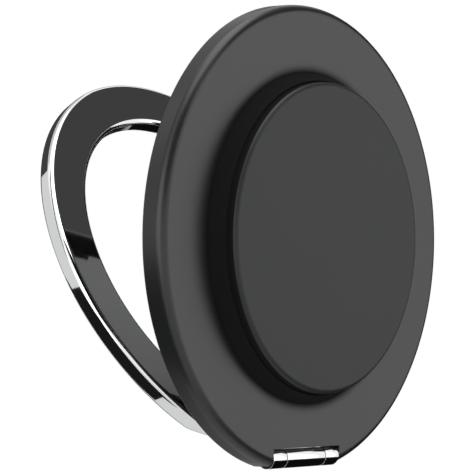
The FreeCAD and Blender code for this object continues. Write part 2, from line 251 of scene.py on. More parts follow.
def combine(piece: Object, tool: BMesh, joining: Joining) -> None:
    """Weld a body to a piece or cut it out, and keep the result as the piece's mesh.

    Args:
        piece: The piece to change.
        tool: The body to weld on or cut out, which is freed.
        joining: Which of the two it is.
    """
    helper = as_object("tool", tool)
    modifier = piece.modifiers.new("combine", "BOOLEAN")
    modifier.operation = joining.value
    modifier.solver = "EXACT"
    modifier.object = helper
    evaluated = piece.evaluated_get(bpy.context.evaluated_depsgraph_get())
    result = bpy.data.meshes.new_from_object(evaluated)
    piece.modifiers.clear()
    before = piece.data
    piece.data = result
    tool_mesh = helper.data
    bpy.data.objects.remove(helper)
    for spent in (before, tool_mesh):
        bpy.data.meshes.remove(spent)
    result.name = piece.name


def smooth(piece: Object) -> None:
    """Shade a piece smooth between its crisp edges, with flat faces kept flat beside roundings.

    Args:
        piece: The piece.
    """
    mesh = piece.data
    mesh.polygons.foreach_set("use_smooth", [True] * len(mesh.polygons))
    mesh.set_sharp_from_angle(angle=CRISP_ANGLE)
    even = piece.modifiers.new("even_normals", "WEIGHTED_NORMAL")
    even.keep_sharp = True


# Finishes


def linear(code: str) -> tuple[float, float, float, float]:
    """Turn an sRGB hex colour into linear values.

    Args:
        code: The colour as #rrggbb.

    Returns:
        Red, green, blue and full alpha.
    """
    def straighten(share: float) -> float:
        """Undo the standard's curve, a straight foot and then a power."""
        return share / 12.92 if share <= 0.04045 else ((share + 0.055) / 1.055) ** 2.4

    red, green, blue = (straighten(value / 255) for value in bytes.fromhex(code.lstrip("#")))
    return red, green, blue, 1.0


def per_metre(spacing: float) -> float:
    """The scale that gives a pattern its spacing, in millimetres, on Object coordinates."""
    return 1 / (spacing * MM)


def add_node(tree: NodeTree, kind: str, sockets: dict[Any, Any], **settings: Any) -> Node:
    """Add a node with its settings and links.

    Args:
        tree: The node tree.
        kind: The node's type.
        sockets: Input names or places, each with a value or with the output that feeds it.
        settings: The node's own properties.

    Returns:
        The new node.
    """
    node = tree.nodes.new(kind)
    for name, value in settings.items():
        setattr(node, name, value)
    for name, value in sockets.items():
        if isinstance(value, NodeSocket):
            tree.links.new(value, node.inputs[name])
        else:
            node.inputs[name].default_value = value
    return node


def empty_material(name: str) -> Material:
    """Make a material with an empty node tree.

    Args:
        name: The material's name.

    Returns:
        The new material.
    """
    material = bpy.data.materials.new(name)
    material.use_nodes = True
    material.node_tree.nodes.clear()
    return material


def axis_distance(tree: NodeTree, place: NodeSocket, across: tuple[int, int, int]) -> NodeSocket:
    """Measure how far each point of a surface lies from an axis through the origin.

    Args:
        tree: The material's nodes.
        place: The object coordinates.
        across: 0 along the axis, and 1 along the two others.

    Returns:
        The distance in metres.
    """
    flat = add_node(tree, "ShaderNodeVectorMath", {0: place, 1: across}, operation="MULTIPLY").outputs
    return add_node(tree, "ShaderNodeVectorMath", {0: flat["Vector"]}, operation="LENGTH").outputs["Value"]


@dataclass(frozen=True)
class SpeckledFinish:
    """A moulded or painted surface: fine grain in the bump, and a faint cloud in colour and roughness.

    Spacings, heights and the radii of a painted shade are in millimetres. Without a shade colour there is no
    painted shade.
    """

    name: str
    colour: str
    cloud_colour: str
    roughness: float
    cloud_roughness: float
    cloud_spacing: float
    grain_spacing: float
    grain_height: float
    ior: float
    shade_start: float = 0.0
    shade_inner: float = 0.0
    shade_outer: float = 0.0
    shade_colour: str = ""

    def shade(self, tree: NodeTree, place: NodeSocket) -> NodeSocket:
        """How much of the colour and gloss is left at a distance from the Y axis, where shade is painted in.

        Args:
            tree: The material's nodes.
            place: The object coordinates.

        Returns:
            1 outside the outer radius, falling softly to 0 at the inner one, and 1 again within the start.
        """
        reach = axis_distance(tree, place, (1, 0, 1))
        fall = add_node(tree, "ShaderNodeMapRange", {
            "Value": reach, "From Min": self.shade_inner * MM, "From Max": self.shade_outer * MM,
        }, interpolation_type="SMOOTHSTEP")
        within = add_node(tree, "ShaderNodeMath", {
            0: reach, 1: self.shade_start * MM,
        }, operation="LESS_THAN")
        return add_node(tree, "ShaderNodeMath", {
            0: fall.outputs["Result"], 1: within.outputs["Value"],
        }, operation="MAXIMUM").outputs["Value"]

    @cache
    def material(self) -> Material:
        """Build the material once, for every piece that asks.

        Returns:
            The material.
        """
        material = empty_material(self.name)
        tree = material.node_tree
        place = add_node(tree, "ShaderNodeTexCoord", {}).outputs["Object"]
        cloud = add_node(tree, "ShaderNodeTexNoise", {
            "Vector": place, "Scale": per_metre(self.cloud_spacing), "Detail": CLOUD_DETAIL,
        }).outputs["Fac"]
        colour = add_node(tree, "ShaderNodeMix", {
            "Factor": cloud, "A": linear(self.colour), "B": linear(self.cloud_colour),
        }, data_type="RGBA").outputs["Result"]
        roughness = add_node(tree, "ShaderNodeMapRange", {
            "Value": cloud, "To Min": self.roughness, "To Max": self.cloud_roughness,
        })
        grain = add_node(tree, "ShaderNodeTexNoise", {
            "Vector": place, "Scale": per_metre(self.grain_spacing), "Detail": GRAIN_DETAIL,
        }).outputs["Fac"]
        bump = add_node(tree, "ShaderNodeBump", {
            "Height": grain, "Strength": 1.0, "Distance": self.grain_height * MM,
        })
        gloss: NodeSocket | float = WHOLE_GLOSS
        # Painted shade: the colour turns to the shade colour and the gloss fades where the shadow falls.
        if self.shade_colour:
            left = self.shade(tree, place)
            colour = add_node(tree, "ShaderNodeMix", {
                "Factor": left, "A": linear(self.shade_colour), "B": colour,
            }, data_type="RGBA").outputs["Result"]
            gloss = add_node(tree, "ShaderNodeMath", {
                0: left, 1: WHOLE_GLOSS,
            }, operation="MULTIPLY").outputs["Value"]
        shader = add_node(tree, "ShaderNodeBsdfPrincipled", {
            "Base Color": colour, "Roughness": roughness.outputs["Result"], "IOR": self.ior,
            "Specular IOR Level": gloss, "Normal": bump.outputs["Normal"],
        })
        add_node(tree, "ShaderNodeOutputMaterial", {"Surface": shader.outputs["BSDF"]})
        return material


@dataclass(frozen=True)
class MetalFinish:
    """Bare or plated metal: streaks left by drawing or buffing, in the roughness and in a faint bump.

    Spacings, lengths and heights are in millimetres.
    """

    name: str
    colour: str
    streak_colour: str
    roughness: float
    streak_roughness: float
    streak_spacing: float
    streak_length: float
    streak_height: float

    @cache
    def material(self) -> Material:
        """Build the material once, for every piece that asks.

        Returns:
            The material.
        """
        material = empty_material(self.name)
        tree = material.node_tree
        place = add_node(tree, "ShaderNodeTexCoord", {}).outputs["Object"]
        across = per_metre(self.streak_spacing)
        stretched = add_node(tree, "ShaderNodeMapping", {
            "Vector": place, "Scale": (per_metre(self.streak_length), across, across),
        })
        streaks = add_node(tree, "ShaderNodeTexNoise", {
            "Vector": stretched.outputs["Vector"], "Scale": 1.0, "Detail": STREAK_DETAIL,
        }).outputs["Fac"]
        colour = add_node(tree, "ShaderNodeMix", {
            "Factor": streaks, "A": linear(self.colour), "B": linear(self.streak_colour),
        }, data_type="RGBA")
        roughness = add_node(tree, "ShaderNodeMapRange", {
            "Value": streaks, "To Min": self.roughness, "To Max": self.streak_roughness,
        })
        bump = add_node(tree, "ShaderNodeBump", {
            "Height": streaks, "Strength": 1.0, "Distance": self.streak_height * MM,
        })
        shader = add_node(tree, "ShaderNodeBsdfPrincipled", {
            "Base Color": colour.outputs["Result"], "Roughness": roughness.outputs["Result"],
            "Metallic": 1.0, "Normal": bump.outputs["Normal"],
        })
        add_node(tree, "ShaderNodeOutputMaterial", {"Surface": shader.outputs["BSDF"]})
        return material


# Baked satin paint on a die casting: an even dark grey with a soft, wide gloss. Its peel is a few
# micrometres high and 0.3 mm across, drawn 0.8 mm across so that it shows as a faint unevenness.
SATIN_PAINT = SpeckledFinish(
    name="satin_paint_on_cast_aluminium", colour="#1b1c1c", cloud_colour="#1f2020", roughness=0.30,
    cloud_roughness=0.34, cloud_spacing=9.0, grain_spacing=0.8, grain_height=0.0012, ior=1.55,
)
# The same paint on the housing, with a painted shadow round the skirt's foot: darkened and dulled beside the
# rubber skirt and on the puck's wall behind it. The housing gives the radii. Inside the puck, where nothing
# shows, the paint is whole again.
SKIRT_SHADE_PAINT = replace(SATIN_PAINT, name="satin_paint_with_painted_skirt_shade", shade_colour="#1f1f1f")
# Moulded silicone rubber with a soft-touch skin: duller than the paint, with a finer grain.
SOFT_SILICONE = SpeckledFinish(
    name="moulded_silicone_rubber", colour="#222423", cloud_colour="#262827", roughness=0.42,
    cloud_roughness=0.47, cloud_spacing=7.0, grain_spacing=0.5, grain_height=0.0014, ior=1.41,
)
# Moulded foam rubber: dull black without a sheen, so it reads as one dark band round the puck.
BLACK_RUBBER = SpeckledFinish(
    name="black_foam_rubber", colour="#151515", cloud_colour="#181818", roughness=0.9,
    cloud_roughness=0.95, cloud_spacing=3.0, grain_spacing=0.4, grain_height=0.001, ior=1.2,
)
# Acrylic bonding film seen on edge: black and dull.
BONDING_FILM = SpeckledFinish(
    name="acrylic_bonding_film", colour="#131313", cloud_colour="#181818", roughness=0.6,
    cloud_roughness=0.7, cloud_spacing=3.0, grain_spacing=0.4, grain_height=0.001, ior=1.47,
)
# Polished zinc casting with bright chrome plate: a mirror with the faintest long waves from buffing.
CHROME_PLATE = MetalFinish(
    name="bright_chrome_plate", colour="#eceded", streak_colour="#f2f3f4", roughness=0.03,
    streak_roughness=0.05, streak_spacing=5.0, streak_length=14.0, streak_height=0.0004,
)
# Drawn steel: cool grey, with fine lines along the drawing.
DRAWN_STEEL = MetalFinish(
    name="drawn_steel", colour="#8d8f92", streak_colour="#a2a4a7", roughness=0.28,
    streak_roughness=0.42, streak_spacing=0.25, streak_length=4.0, streak_height=0.001,
)
# Nickel on sintered magnets: a warm grey with a slightly uneven, satin plate.
NICKEL_PLATE = MetalFinish(
    name="nickel_plate_on_magnet", colour="#b4aea4", streak_colour="#c2bdb4", roughness=0.22,
    streak_roughness=0.32, streak_spacing=0.8, streak_length=0.8, streak_height=0.0015,
)
# Rolled brass strip: yellow, with lines along the rolling.
ROLLED_BRASS = MetalFinish(
    name="rolled_brass", colour="#c3a057", streak_colour="#cfae69", roughness=0.25,
    streak_roughness=0.36, streak_spacing=0.25, streak_length=3.0, streak_height=0.001,
)


# Sub-assemblies


@dataclass(frozen=True)
class GripSizes:
    """The sizes and places that the frame's nodes and joint give, in metres and radians."""

    pad_radius: float
    pad_front: float
    pad_back: float
    puck_front: float
    skirt_foot: float
    skirt_top: float
    flange_radius: float
    flange_front: float
    flange_back: float
    groove_floor: float
    channel_floor: float
    magnet_outer: float
    cover_radius: float
    cover_front: float
    ring_outer: float
    hinge: Vector
    barrel_half: float
    knuckle_half: float
    leaf_end: float
    screw_offset: float
    screw_level: float
    pin_radius: float
    bore_radius: float
    rest_angle: float

    @classmethod
    def read(cls, frame: dict[str, Any]) -> "GripSizes":
        """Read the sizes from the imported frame.


        Returns:
            The sizes.
        """
        pad_low, pad_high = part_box("contact_pad")
        housing_low, housing_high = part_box("front_housing")
        skirt_low, skirt_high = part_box("foot_skirt")
        cover_low, cover_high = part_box("back_cover")
        bracket_low, bracket_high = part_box("hinge_bracket")
        sleeve_low, sleeve_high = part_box("friction_sleeve")
        pin_low, pin_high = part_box("hinge_pin")
        screws_low, screws_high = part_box("bracket_screws")
        head_radius = (screws_high.z - screws_low.z) / 2
        joint = frame["joints"][0]
        return cls(
            pad_radius=pad_high.x,
            pad_front=pad_low.y,
            pad_back=pad_high.y,
            puck_front=housing_low.y,
            skirt_foot=skirt_high.x,
            skirt_top=skirt_low.y,
            flange_radius=housing_high.x,
            flange_front=bracket_low.y,
            flange_back=housing_high.y,
            groove_floor=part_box("cover_adhesive")[0].y,
            channel_floor=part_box("magnet_01")[0].y,
            magnet_outer=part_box("steel_yoke")[1].x,
            cover_radius=cover_high.x,
            cover_front=cover_low.y,
            ring_outer=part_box("stand_ring")[1].x,
            hinge=Vector(joint["pos_m"]),
            barrel_half=bracket_high.x,
            knuckle_half=sleeve_high.x,
            leaf_end=bracket_high.z,
            screw_offset=screws_high.x - head_radius,
            screw_level=(screws_high.z + screws_low.z) / 2,
            pin_radius=(pin_high.y - pin_low.y) / 2,
            bore_radius=(sleeve_high.y - sleeve_low.y) / 2,
            rest_angle=-math.radians(joint["range_deg"][0]),
        )

    @property
    def barrel_radius(self) -> float:
        """Radius of the hinge barrel, whose front is level with the disc's front."""
        return self.hinge.y - self.flange_front


def fit(piece: Object, material: Material, slot: Slot, body: Body, *nodes: str) -> Object:
    """Smooth a piece, give it its finish and body, and let it stand for CAD nodes.

    Args:
        piece: The piece.
        material: Its finish.
        slot: The record's material slot for it. Not used.
        body: The body that it rides on.
        nodes: The CAD nodes that it replaces.

    Returns:
        The piece.
    """
    smooth(piece)
    piece.data.materials.clear()
    piece.data.materials.append(material)
    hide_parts(*nodes)
    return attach(piece, body.value)


@dataclass
class ContactPad:
    """The soft round pad on the puck's front: grey silicone on its front, black rubber on its side."""

    sizes: GripSizes
    skirt: float = 0.35 * MM
    # How deep the grey silicone reaches behind the pad's front; faces beyond it get black rubber.
    grey_depth: float = 0.47 * MM

    def build(self) -> Object:
        """Turn the pad and round its front edge.

        Returns:
            The pad.
        """
        at = self.sizes
        bm = turned([
            (0, at.pad_front), (at.pad_radius, at.pad_front),
            (at.pad_radius, at.pad_back), (0, at.pad_back),
        ])
        edge = circle_edges(bm, at.pad_radius, at.pad_front)
        round_off(bm, edge, at.pad_back - at.pad_front - self.skirt)
        return as_object("soft_pad", bm)

    def dress(self) -> list[Object]:
        """Build the pad in silicone rubber, with black rubber on the faces deeper than the grey depth.

        Returns:
            The pad.
        """
        piece = fit(self.build(), SOFT_SILICONE.material(), Slot.RUBBER, Body.GRIP, "contact_pad")
        piece.data.materials.append(BLACK_RUBBER.material())
        for face in piece.data.polygons:
            face.material_index = int(face.center.y > self.sizes.pad_front + self.grey_depth)
        return [piece]


@dataclass
class FootSkirt:
    """The soft black skirt that leans against the puck's wall and spreads on the disc."""

    sizes: GripSizes
    clearance: float = 0.1 * MM
    lip: float = 0.15 * MM

    def build(self) -> Object:
        """Turn the skirt's slanting section.

        Returns:
            The skirt.
        """
        at = self.sizes
        inner = at.pad_radius + self.clearance
        top_inside = (inner, at.skirt_top)
        outline = [
            top_inside, (inner + self.lip, at.skirt_top), (at.skirt_foot, at.flange_front - self.lip),
            (at.skirt_foot, at.flange_front), (inner, at.flange_front), top_inside,
        ]
        return as_object("puck_skirt", turned(outline))

    def dress(self) -> list[Object]:
        """Build the skirt in black rubber."""
        return [fit(self.build(), BLACK_RUBBER.material(), Slot.SKIRT, Body.GRIP, "foot_skirt")]


@dataclass
class FrontHousing:
    """The disc and its puck: one casting with the ring's groove and the hinge notch."""

    sizes: GripSizes
    front_round: float = 1.3 * MM
    back_round: float = 0.4 * MM
    lip_round: float = 0.3 * MM
    rim_wall: float = 1.0 * MM
    magnet_width: float = 4.3 * MM
    seat_clearance: float = 0.1 * MM
    rib_wall: float = 1.0 * MM
    notch_gap: float = 0.1 * MM
    notch_ledge: float = 0.45 * MM
    leaf_depth: float = LEAF_DEPTH
    screw_hole_radius: float = 0.72 * MM
    screw_hole_depth: float = 2.25 * MM
    # The painted shadow round the skirt's foot: how far beyond the foot it reaches, and how far inside the
    # puck's wall it stops.
    painted_shade_width: float = 1.5 * MM
    painted_shade_inset: float = 0.05 * MM

    def turn_casting(self) -> BMesh:
        """Turn the casting and round its edges.

        Returns:
            The casting, still without its cuts.
        """
        at = self.sizes
        groove_outer = at.flange_radius - self.rim_wall
        channel_outer = at.magnet_outer + self.seat_clearance
        channel_inner = at.magnet_outer - self.magnet_width - self.seat_clearance
        pocket_radius = channel_inner - self.rib_wall
        bm = turned([
            (0, at.puck_front), (at.pad_radius, at.puck_front), (at.pad_radius, at.flange_front),
            (at.flange_radius, at.flange_front), (at.flange_radius, at.flange_back),
            (groove_outer, at.flange_back), (groove_outer, at.groove_floor),
            (channel_outer, at.groove_floor), (channel_outer, at.channel_floor),
            (channel_inner, at.channel_floor), (channel_inner, at.groove_floor),
            (pocket_radius, at.groove_floor), (pocket_radius, at.channel_floor), (0, at.channel_floor),
        ])
        for radius, level, rounding in (
            (at.flange_radius, at.flange_front, self.front_round),
            (at.flange_radius, at.flange_back, self.back_round),
            (groove_outer, at.flange_back, self.lip_round),
        ):
            round_off(bm, circle_edges(bm, radius, level), rounding)
        return bm

    def build(self) -> Object:
        """Cut the hinge notch, the seat of the bracket's leaf and the screw holes into the casting.

        Returns:
            The housing.
        """
        at = self.sizes
        piece = as_object("housing_shell", self.turn_casting())
        notch_half = at.barrel_half + self.notch_gap
        notch_top = at.hinge.z + at.barrel_radius
        below = -at.flange_radius - THROUGH
        behind = at.flange_back + THROUGH
        notch = block((-notch_half, at.pad_front, below), (notch_half, behind, notch_top))
        combine(piece, notch, Joining.CUT)
        seat_low = (-notch_half, at.groove_floor - self.leaf_depth, notch_top + self.notch_ledge)
        seat_high = (notch_half, at.flange_back, at.leaf_end + self.seat_clearance)
        combine(piece, block(seat_low, seat_high), Joining.CUT)
        for side in (-1, 1):
            back = Vector((side * at.screw_offset, at.groove_floor, at.screw_level))
            end = back - Vector((0, self.screw_hole_depth, 0))
            combine(piece, rod(self.screw_hole_radius, end, back), Joining.CUT)
        return piece

    def paint(self) -> SpeckledFinish:
        """Paint shade onto the paint from the puck's wall to a little beyond the skirt's foot.

        Returns:
            The paint, with the radii of its band of painted shade.
        """
        at = self.sizes
        # The paint with shade painted round the skirt's foot, its radii taken from the housing.
        return replace(
            SKIRT_SHADE_PAINT, shade_start=(at.pad_radius - self.painted_shade_inset) / MM,
            shade_inner=at.skirt_foot / MM, shade_outer=(at.skirt_foot + self.painted_shade_width) / MM,
        )

    def dress(self) -> list[Object]:
        """Build the casting in satin paint, with a painted shadow round the skirt's foot."""
        return [fit(self.build(), self.paint().material(), Slot.COAT, Body.GRIP, "front_housing")]


@dataclass
class BackCover:
    """The round cover on the back, with a scoop for the fingertip that lifts the ring."""

    sizes: GripSizes
    plate: float = 1.3 * MM
    wall: float = 1.65 * MM
    edge_round: float = 0.4 * MM
    scoop_radius: float = 9.0 * MM
    scoop_reach: float = 4.0 * MM
    scoop_depth: float = 0.8 * MM

    def build(self) -> Object:
        """Turn the cover, round its edge and sink the scoop into its top.

        Returns:
            The cover.
        """
        at = self.sizes
        inside = at.flange_back - self.plate
        wall_inner = at.cover_radius - self.wall
        bm = turned([
            (0, inside), (wall_inner, inside), (wall_inner, at.cover_front),
            (at.cover_radius, at.cover_front), (at.cover_radius, at.flange_back), (0, at.flange_back),
        ])
        round_off(bm, circle_edges(bm, at.cover_radius, at.flange_back), self.edge_round)
        piece = as_object("cover_plate", bm)
        height = at.cover_radius + self.scoop_radius - self.scoop_reach
        floor = Vector((0, at.flange_back - self.scoop_depth, height))
        scoop = rod(self.scoop_radius, floor, Vector((0, at.flange_back + THROUGH, height)))
        combine(piece, scoop, Joining.CUT)
        return piece

    def dress(self) -> list[Object]:
        """Build the cover in satin paint."""
        return [fit(self.build(), SATIN_PAINT.material(), Slot.COAT, Body.GRIP, "back_cover")]


def knuckle(radius: float, start: float, end: float, break_edge: float) -> BMesh:
    """Make one solid hinge knuckle along X about the origin.

    Args:
        radius: Its radius.
        start: Its first end along X.
        end: Its other end along X.
        break_edge: Rounding of its end edges.

    Returns:
        The knuckle.
    """
    bm = turned([(0, start), (radius, start), (radius, end), (0, end)])
    for level in (start, end):
        round_off(bm, circle_edges(bm, radius, level), break_edge)
    quarter = Matrix.Rotation(-math.pi / 2, 3, "Z")
    bmesh.ops.rotate(bm, cent=(0, 0, 0), matrix=quarter, verts=bm.verts)
    return bm


@dataclass
class HingeBracket:
    """The leaf in the housing's seat and the two outer knuckles, which tongues behind the leaf carry."""

    sizes: GripSizes
    leaf_depth: float = LEAF_DEPTH
    leaf_foot: float = 1.9 * MM
    leaf_clearance: float = 0.35 * MM
    tongue_depth: float = 0.65 * MM
    tongue_reach: float = 2.6 * MM
    knuckle_gap: float = 0.15 * MM
    screw_hole_radius: float = 0.8 * MM
    break_edge: float = BREAK_EDGE

    def joggled_strip(self) -> BMesh:
        """Extrude the section of the leaf and its tongues along the hinge.

        Returns:
            The strip, as long as the whole barrel and still without its gap.
        """
        at = self.sizes
        front, back = at.groove_floor - self.leaf_depth, at.groove_floor
        tongue_back = at.groove_floor + self.tongue_depth
        foot, tongue_top = at.hinge.z + self.leaf_foot, at.hinge.z + self.tongue_reach
        bm = bmesh.new()
        section = bm.faces.new([bm.verts.new((-at.barrel_half, along, height)) for along, height in (
            (front, foot), (back, foot), (back, at.hinge.z), (tongue_back, at.hinge.z),
            (tongue_back, tongue_top), (back, tongue_top), (back, at.leaf_end), (front, at.leaf_end),
        )])
        extrude(bm, [section], (2 * at.barrel_half, 0, 0))
        return bm

    def build(self) -> Object:
        """Part the strip, weld a knuckle to each side, bore both for the pin and drill the leaf.

        Returns:
            The bracket.
        """
        at = self.sizes
        piece = as_object("bracket_leaf", self.joggled_strip())
        inner = at.knuckle_half + self.knuckle_gap
        gap_top = at.hinge.z + self.tongue_reach + self.leaf_clearance
        gap = block(
            (-inner, at.pad_front, at.hinge.z - THROUGH), (inner, at.flange_back + THROUGH, gap_top),
        )
        combine(piece, gap, Joining.CUT)
        for start, end in ((inner, at.barrel_half), (-at.barrel_half, -inner)):
            outer = knuckle(at.barrel_radius, start, end, self.break_edge)
            bmesh.ops.translate(outer, vec=at.hinge, verts=outer.verts)
            combine(piece, outer, Joining.WELD)
        reach = Vector((at.barrel_half + THROUGH, 0, 0))
        combine(piece, rod(at.pin_radius, at.hinge - reach, at.hinge + reach), Joining.CUT)
        for side in (-1, 1):
            hole = Vector((side * at.screw_offset, at.pad_front, at.screw_level))
            through = Vector((0, at.flange_back, 0))
            combine(piece, rod(self.screw_hole_radius, hole, hole + through), Joining.CUT)
        return piece

    def dress(self) -> list[Object]:
        """Build the bracket in chrome plate."""
        return [fit(self.build(), CHROME_PLATE.material(), Slot.CHROME, Body.GRIP, "hinge_bracket")]


@dataclass
class StandRing:
    """The ring with its neck and middle knuckle, drawn folded about the hinge and then swung open."""

    sizes: GripSizes
    width: float = 6.4 * MM
    depth: float = 2.4 * MM
    lift: float = 0.15 * MM
    front_round: float = 0.7 * MM
    back_round: float = 0.5 * MM
    heel_reach: float = 2.7 * MM
    heel_radius: float = 54.4 * MM
    neck_depth: float = 1.5 * MM
    break_edge: float = BREAK_EDGE

    @property
    def front(self) -> float:
        """The folded ring's front face, from the hinge axis."""
        return self.sizes.groove_floor + self.lift - self.sizes.hinge.y

    def plate(self) -> BMesh:
        """Bridge two circles, press the heel flat, extrude the plate and round its edges.

        Returns:
            The plate, folded, with the hinge axis at the origin.
        """
        at = self.sizes
        upright = Matrix.Translation((0, self.front, -at.hinge.z)) @ Matrix.Rotation(math.pi / 2, 4, "X")
        bm = bmesh.new()
        for radius in (at.ring_outer, at.ring_outer - self.width):
            bmesh.ops.create_circle(
                bm, cap_ends=False, radius=radius, segments=TURN_STEPS, matrix=upright,
            )
        for vert in bm.verts:
            heel = self.heel_reach + self.heel_radius - math.sqrt(self.heel_radius ** 2 - vert.co.x ** 2)
            vert.co.z = max(vert.co.z, heel)
        sheet = bmesh.ops.bridge_loops(bm, edges=bm.edges)["faces"]
        extrude(bm, sheet, (0, self.depth, 0))
        back = self.front + self.depth
        for level, rounding in ((self.front, self.front_round), (back, self.back_round)):
            loops = [
                edge for edge in bm.edges
                if all(abs(vert.co.y - level) < NEAR for vert in edge.verts)
                and edge.calc_face_angle(0) > CRISP_ANGLE
            ]
            round_off(bm, loops, rounding)
        return bm

    def build(self) -> Object:
        """Weld the neck and the knuckle to the plate, bore the knuckle and swing the ring open.

        Returns:
            The ring.
        """
        at = self.sizes
        piece = as_object("chrome_ring", self.plate())
        neck_back = self.front + self.neck_depth
        neck_top = self.heel_reach + self.front_round
        neck = block((-at.knuckle_half, self.front, 0), (at.knuckle_half, neck_back, neck_top))
        combine(piece, neck, Joining.WELD)
        middle = knuckle(at.barrel_radius, -at.knuckle_half, at.knuckle_half, self.break_edge)
        combine(piece, middle, Joining.WELD)
        reach = Vector((at.barrel_half, 0, 0))
        combine(piece, rod(at.bore_radius, -reach, reach), Joining.CUT)
        piece.data.transform(Matrix.Translation(at.hinge) @ Matrix.Rotation(-at.rest_angle, 4, "X"))
        return piece

    def dress(self) -> list[Object]:
        """Build the ring in chrome plate."""
        return [fit(self.build(), CHROME_PLATE.material(), Slot.CHROME, Body.RING, "stand_ring")]


@dataclass
class InnerParts:
    """The plain parts inside, whose CAD meshes stay and only get their finishes."""

    nodes: dict[str, Object]

    def dress(self) -> list[Object]:
        """Give each node the finish that its name calls for.

        Returns:
            The nodes that got one.
        """
        finishes = {
            "adhesive": BONDING_FILM, "magnet": NICKEL_PLATE, "yoke": DRAWN_STEEL,
            "screws": DRAWN_STEEL, "pin": DRAWN_STEEL, "sleeve": ROLLED_BRASS,
        }
        dressed = []
        for name, node in sorted(self.nodes.items()):
            for word, finish in finishes.items():
                if word in name:
                    for holder in node.material_slots:
                        holder.material = finish.material()
                    dressed.append(node)
        return dressed


# Studio


def aim(azimuth: float, elevation: float, distance: float) -> Vector:
    """Find a place by its direction and distance from the origin.

    Args:
        azimuth: Degrees from -Y towards +X.
        elevation: Degrees above the level.
        distance: How far off, in metres.

    Returns:
        The place.
    """
    turn, rise = math.radians(azimuth), math.radians(elevation)
    flat = Vector((math.sin(turn), -math.cos(turn), 0)) * math.cos(rise)
    return (flat + Vector((0, 0, math.sin(rise)))) * distance


@dataclass(frozen=True)
class SoftBox:
    """An area lamp that faces the object."""

    name: str
    azimuth: float
    elevation: float
    # How bright its front looks, where the white surroundings are 1.
    brightness: float
    width: float
    height: float
    distance: float = 0.6

    def set_up(self) -> None:
        """Add the lamp with the power that its brightness needs."""
        lamp = bpy.data.lights.new(self.name, "AREA")
        lamp.shape = "RECTANGLE"
        lamp.size, lamp.size_y = self.width, self.height
        lamp.energy = self.brightness * math.pi * self.width * self.height
        holder = bpy.data.objects.new(self.name, lamp)
        holder.location = aim(self.azimuth, self.elevation, self.distance)
        holder.rotation_mode = "QUATERNION"
        holder.rotation_quaternion = holder.location.to_track_quat("Z", "Y")
        bpy.context.scene.collection.objects.link(holder)


@dataclass(frozen=True)
class Card:
    """A plain card that only reflections see, as a photographer sets beside polished metal."""

    name: str
    size: tuple[float, float]
    colour: str

    def placing(self) -> Matrix:
        """Where the card stands: its middle, with its face along its own Z."""
        raise NotImplementedError

    def material(self) -> Material:
        """A surface that shines evenly at its own value.

        Returns:
            The card's material.
        """
        material = empty_material(self.name)
        tree = material.node_tree
        shader = add_node(tree, "ShaderNodeEmission", {"Color": linear(self.colour), "Strength": 1.0})
        add_node(tree, "ShaderNodeOutputMaterial", {"Surface": shader.outputs["Emission"]})
        return material

    def set_up(self) -> None:
        """Add the card and hide it from everything but reflections."""
        bm = bmesh.new()
        # The grid's size is half its side, so it starts as a square with a side of 1.
        spread = self.placing() @ Matrix.Diagonal((*self.size, 1, 1))
        bmesh.ops.create_grid(bm, x_segments=1, y_segments=1, size=0.5, matrix=spread)
        card = as_object(self.name, bm)
        card.data.materials.append(self.material())
        card.visible_camera = False
        card.visible_diffuse = False
        card.visible_transmission = False
        card.visible_shadow = False


@dataclass(frozen=True)
class StandingCard(Card):
    """A card on a stand, turned to face the object."""

    azimuth: float
    elevation: float
    distance: float = 0.5

    def placing(self) -> Matrix:
        """Where the card stands, with its face towards the object."""
        where = aim(self.azimuth, self.elevation, self.distance)
        return Matrix.Translation(where) @ where.to_track_quat("Z", "Y").to_matrix().to_4x4()


@dataclass(frozen=True)
class LyingCard(Card):
    """A card that lies flat below the object, turned about the upright."""

    middle: tuple[float, float]
    turn: float = 0
    # Below the object at rest, and above the floor.
    level: float = -69 * MM

    def placing(self) -> Matrix:
        """Where the card lies."""
        turned_round = Matrix.Rotation(math.radians(self.turn), 4, "Z")
        return Matrix.Translation((*self.middle, self.level)) @ turned_round


